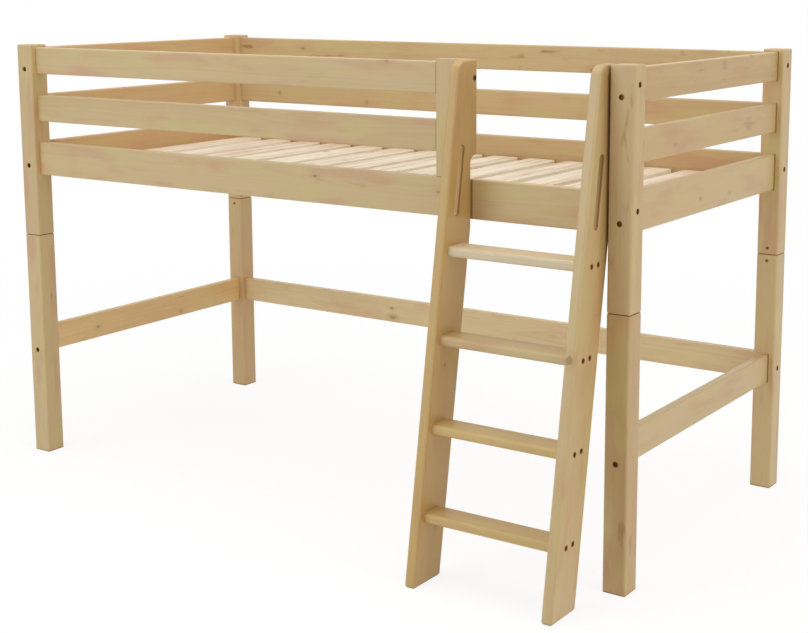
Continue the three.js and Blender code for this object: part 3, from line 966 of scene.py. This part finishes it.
def hole_shades(low, high):
    """Painted shade in the drilled holes that start in a board"""
    found = []
    for marks, radius, depth in HOLES:
        for place, aim in ((Vector(place), Vector(aim)) for place, aim in marks):
            inside = place + aim * HOLE_TEST
            if all(low[i] - HOLE_MARGIN < inside[i] < high[i] + HOLE_MARGIN for i in range(3)):
                start, end = place - aim * HOLE_START, place + aim * depth
                found.append(shade_line(start, end, radius, HOLE_SHADE, PAINTED_HOLE_SHADE_TONE))
    return found


def slot_shades(name, outer_face):
    """The wall of a grip slot: painted light deep inside, painted shadow next to the outer face"""
    found = []
    for depth, reach, strength, tint in (
        (SLOT_DEEP, SLOT_REACH, SLOT_PAINTED_LIGHT_STRENGTH[name], SLOT_PAINTED_LIGHT_TONE),
        (SLOT_EDGE, SLOT_EDGE, SLOT_EDGE_SHADE, SLOT_SHADOW),
    ):
        inset = Vector((outer_face - depth, 0, 0))
        radius = math.hypot(SLOT_RADIUS, reach)
        found.append(shade_line(SLOT_TOP + inset, SLOT_FOOT + inset, radius, strength, tint))
    return found


def shades_of(name):
    """Painted shade in the holes, narrow gaps, joints and seams and at the foot of a board, and painted
    light and shadow in a ladder side's grip slot
    """
    low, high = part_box(name)
    found = hole_shades(low, high)
    if "stringer" in name:
        found += slot_shades(name, high.x)
    if name == "ladder_stringer_right":
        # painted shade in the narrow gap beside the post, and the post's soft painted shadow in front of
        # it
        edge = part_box("front_right_post")[0].y + POST_GAP / 2
        foot, top = upright(high.x, edge, POST_GAP_FOOT, high.z - POST_GAP_TOP)
        found.append(shade_line(top, foot, POST_GAP, POST_GAP_SHADE, PAINTED_DEEP_GAP_SHADE_TONE))
        found.append(shade_line(top, foot, POST_GAP, SOFT_SHADE, PAINTED_POST_SHADOW_TONE, fade=SOFT_FADE))
    if name == "front_side_rail":
        # painted shade in the narrow gap behind the ladder's left side
        foot, top = upright(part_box("ladder_stringer_left")[1].x, low.y, low.z, high.z)
        found.append(shade_line(foot, top, RAIL_GAP, RAIL_GAP_SHADE, PAINTED_DEEP_GAP_SHADE_TONE))
    for board in RIGHT_BOARDS:
        # painted shade where a right board meets the back post
        if name in (board, "back_right_post", "back_right_leg"):
            board_low, board_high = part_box(board)
            foot, top = upright(board_high.x, board_high.y, board_low.z, board_high.z)
            found.append(shade_line(foot, top, JOINT, JOINT_SHADE, PAINTED_GAP_SHADE_TONE))
    # painted shade along the seam between post and leg
    if name.endswith(("_post", "_leg")) and name != "short_guard_post":
        found.append(level_shade(low.z if name.endswith("_post") else high.z, SEAM, SEAM_SHADE))
    # painted shadow along the foot, where the board stands on the floor
    if name.endswith("_leg") or "stringer" in name:
        found.append(level_shade(0, FOOT, FOOT_SHADE))
    return found


# The bed

bpy.context.scene.view_settings.view_transform = "Standard"
make_camera()
make_surroundings()
make_floor()
make_lamps()

steel = make_steel("zinc steel")
lean = (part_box("ladder_tread_4")[0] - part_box("ladder_tread_1")[0]) * Vector((0, 1, 1))
lean.normalize()
for node, thing in nodes.items():
    if node.startswith(("slat_", "bolt_")):
        continue
    if node == "ladder_spacer":
        made = steel
    else:
        made = board_wood(node, lean if "stringer" in node else None, shades_of(node))
    for spot in thing.material_slots:
        spot.material = made

# Bolts, screws and nuts

EASED_BOLT = 0.0003
BOLT = {
    "Sink": 0.0057,
    "Head Radius": 0.006,
    "Head Height": 0.005,
    "Shank Radius": 0.004,
    "Shank Length": 0.0963,
    "Recess Sides": 6,
    "Recess Radius": 0.0032,
    "Recess Depth": 0.0032,
    "Recess Narrowing": 1.0,
    "Steel": steel,
}
LEFT_BOLT = {**BOLT, "Sink": 0.0027, "Shank Length": 0.0653}
RIGHT_BOLT = {**BOLT, "Shank Length": 0.073}
TREAD_SCREW = {
    **BOLT,
    "Sink": 0.0040,
    "Head Radius": 0.0040,
    "Head Height": 0.0030,
    "Shank Radius": 0.0025,
    "Shank Length": 0.045,
    "Recess Radius": 0.0022,
    "Recess Depth": 0.002,
}
CROSS_NUT = {
    **BOLT,
    "Sink": 0.0006,
    "Head Radius": 0.0043,
    "Head Height": 0.0078,
    "Shank Radius": 0.0035,
    "Shank Length": 0.0004,
    "Recess Sides": 4,
    "Recess Radius": 0.0052,
    "Recess Depth": 0.0014,
    "Recess Narrowing": 0.2,
}
bolt_tree = make_bolt_tree()
cad_bolts = [node for node in nodes if node.startswith("bolt_")]
ladder_bolts = ["bolt_ladder_left", "bolt_ladder_right"]
for name, values, marks, replaced in (
    ("frame_bolts", BOLT, frame_bolts, [node for node in cad_bolts if node not in ladder_bolts]),
    ("ladder_bolt_left", LEFT_BOLT, left_bolt, ladder_bolts[:1]),
    ("ladder_bolt_right", RIGHT_BOLT, right_bolt, ladder_bolts[1:]),
    ("tread_screws", TREAD_SCREW, tread_screws, []),
    ("cross_nuts", CROSS_NUT, cross_nuts, []),
):
    piece = grown(name, bolt_tree, values, EASED_BOLT, marks)
    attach(piece, "root")
    if replaced:
        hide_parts(*replaced)

# Slats

SLAT_COUNT = 15
SLAT_CORNER = 0.018
SLAT_PLAY = 0.0012
EASED_SLAT = 0.0028
SLAT_PITH = Vector((0.012, 0, -0.07))
SLAT_TOWARD = Vector((-0.17, 0, 0.985)).normalized()

# from slat to slat: the pattern's shift across, down and along the boards, and the tones
PATTERN_STRAY = 0.05
PATTERN_STEP = 3.37
SLAT_TONE, SLAT_TONE_SPREAD = -0.14, 0.34
# the faces along a slat's sides are painted paler, as painted light
PAINTED_SIDE_LIGHT = -0.9

slat_low, slat_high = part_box("slat_01")
last_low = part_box("slat_15")[0]
slat_size = slat_high - slat_low
slat_pitch = (last_low.x - slat_low.x) / (SLAT_COUNT - 1)


def shift_by_slat(w, here):
    """Moves the pattern from slat to slat, so that each is its own board with its own tone, and paints
    the faces along their sides paler, as painted light"""
    number = w.add("ShaderNodeAttribute", attribute_name="slat_number").outputs["Fac"]
    chance = w.add("ShaderNodeTexWhiteNoise", {"W": number}, noise_dimensions="1D")
    first, second, third = w.add("ShaderNodeSeparateColor", {0: chance.outputs["Color"]}).outputs
    back = w.math("MULTIPLY", number, -slat_pitch)
    sideways = w.sum_of(back, (w.math("SUBTRACT", first, 0.5), PATTERN_STRAY))
    deep = w.math("MULTIPLY", w.math("SUBTRACT", second, 0.5), PATTERN_STRAY)
    apart = w.vector(sideways, w.math("MULTIPLY", number, PATTERN_STEP), deep)
    moved = w.vector_math("ADD", here, apart)
    facing = w.parts(w.add("ShaderNodeNewGeometry").outputs["True Normal"])[0]
    tone = w.sum_of(SLAT_TONE, (third, SLAT_TONE_SPREAD), (w.math("ABSOLUTE", facing), PAINTED_SIDE_LIGHT))
    return moved, tone


middle = (slat_low + slat_high) / 2
slat_wood = make_wood(
    "raw slat wood",
    RAW_PINE,
    0.0,
    Vector((0, 1, 0)),
    middle + SLAT_PITH,
    SLAT_TOWARD,
    shift=shift_by_slat,
)
slats = grown(
    "slats",
    make_slat_tree(),
    {
        "Count": SLAT_COUNT,
        "Start": (middle.x, middle.y, slat_low.z),
        "Pitch": slat_pitch,
        "Width": slat_size.x,
        "Length": slat_size.y,
        "Thickness": slat_size.z,
        "Corner Radius": SLAT_CORNER,
        "Play": SLAT_PLAY,
        "Wood": slat_wood,
    },
    EASED_SLAT,
)
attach(slats, "root")
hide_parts(*[f"slat_{k:02d}" for k in range(1, 16)])
